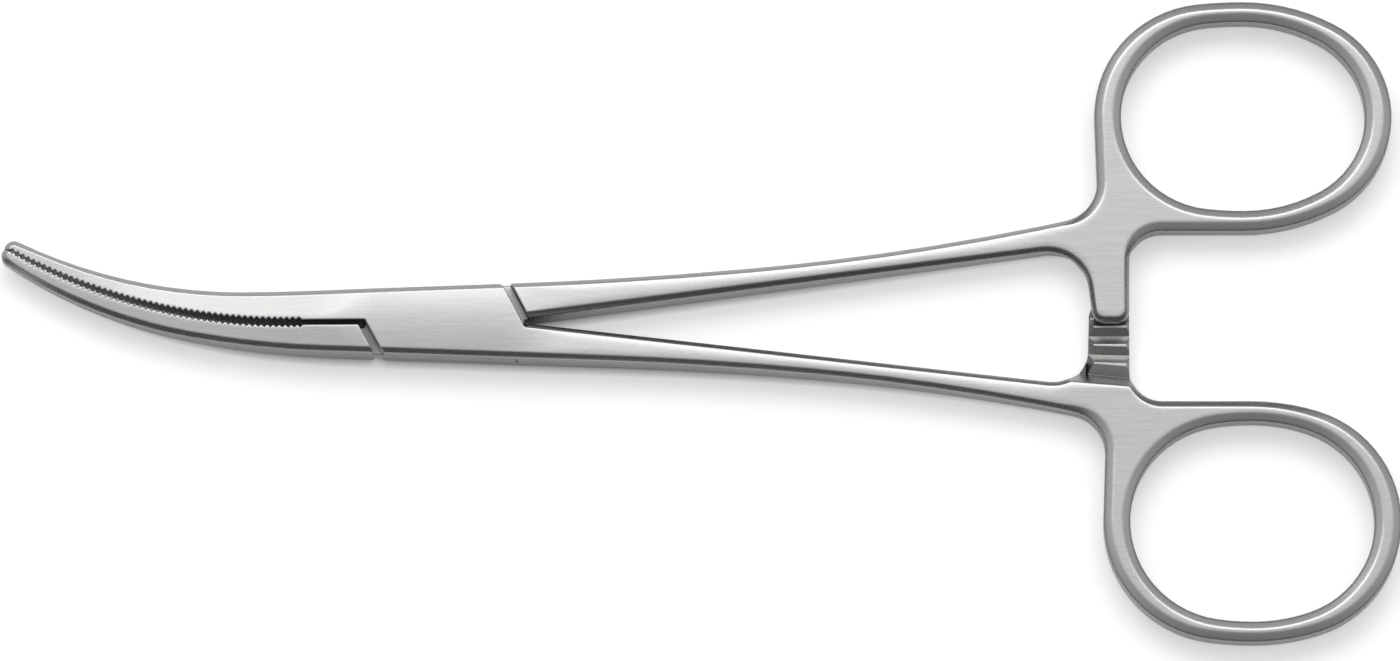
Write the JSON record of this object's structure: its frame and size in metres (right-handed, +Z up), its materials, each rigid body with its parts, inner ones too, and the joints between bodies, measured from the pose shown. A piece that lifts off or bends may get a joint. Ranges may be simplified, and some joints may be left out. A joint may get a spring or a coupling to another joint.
{
  "type": "hemostat forceps",
  "caption": "Curved artery forceps with a box lock, serrated jaws, ratchet bars and oval finger rings.",
  "frame": {"origin": "on the hinge axis, at the underside of the box lock", "axes": "+X from the hinge towards the finger rings, -X towards the jaws' tips, +Z up out of the face that shows the upper ratchet bar, +Y towards the edge that the jaws curve to"},
  "size_m": [0.1399, 0.0654, 0.0046],
  "materials": {
    "steel": "satin"
  },
  "bodies": {
    "box_half": {"box_arm": "steel", "box_lock_pin": "steel"},
    "tongue_half": {"tongue_arm": "steel"}
  },
  "joints": [
    {"name": "jaw_hinge", "type": "hinge", "parent": "box_half", "child": "tongue_half", "pos_m": [0, 0, 0.0023], "axis": [0, 0, 1], "range_deg": [0, 60]}
  ]
}
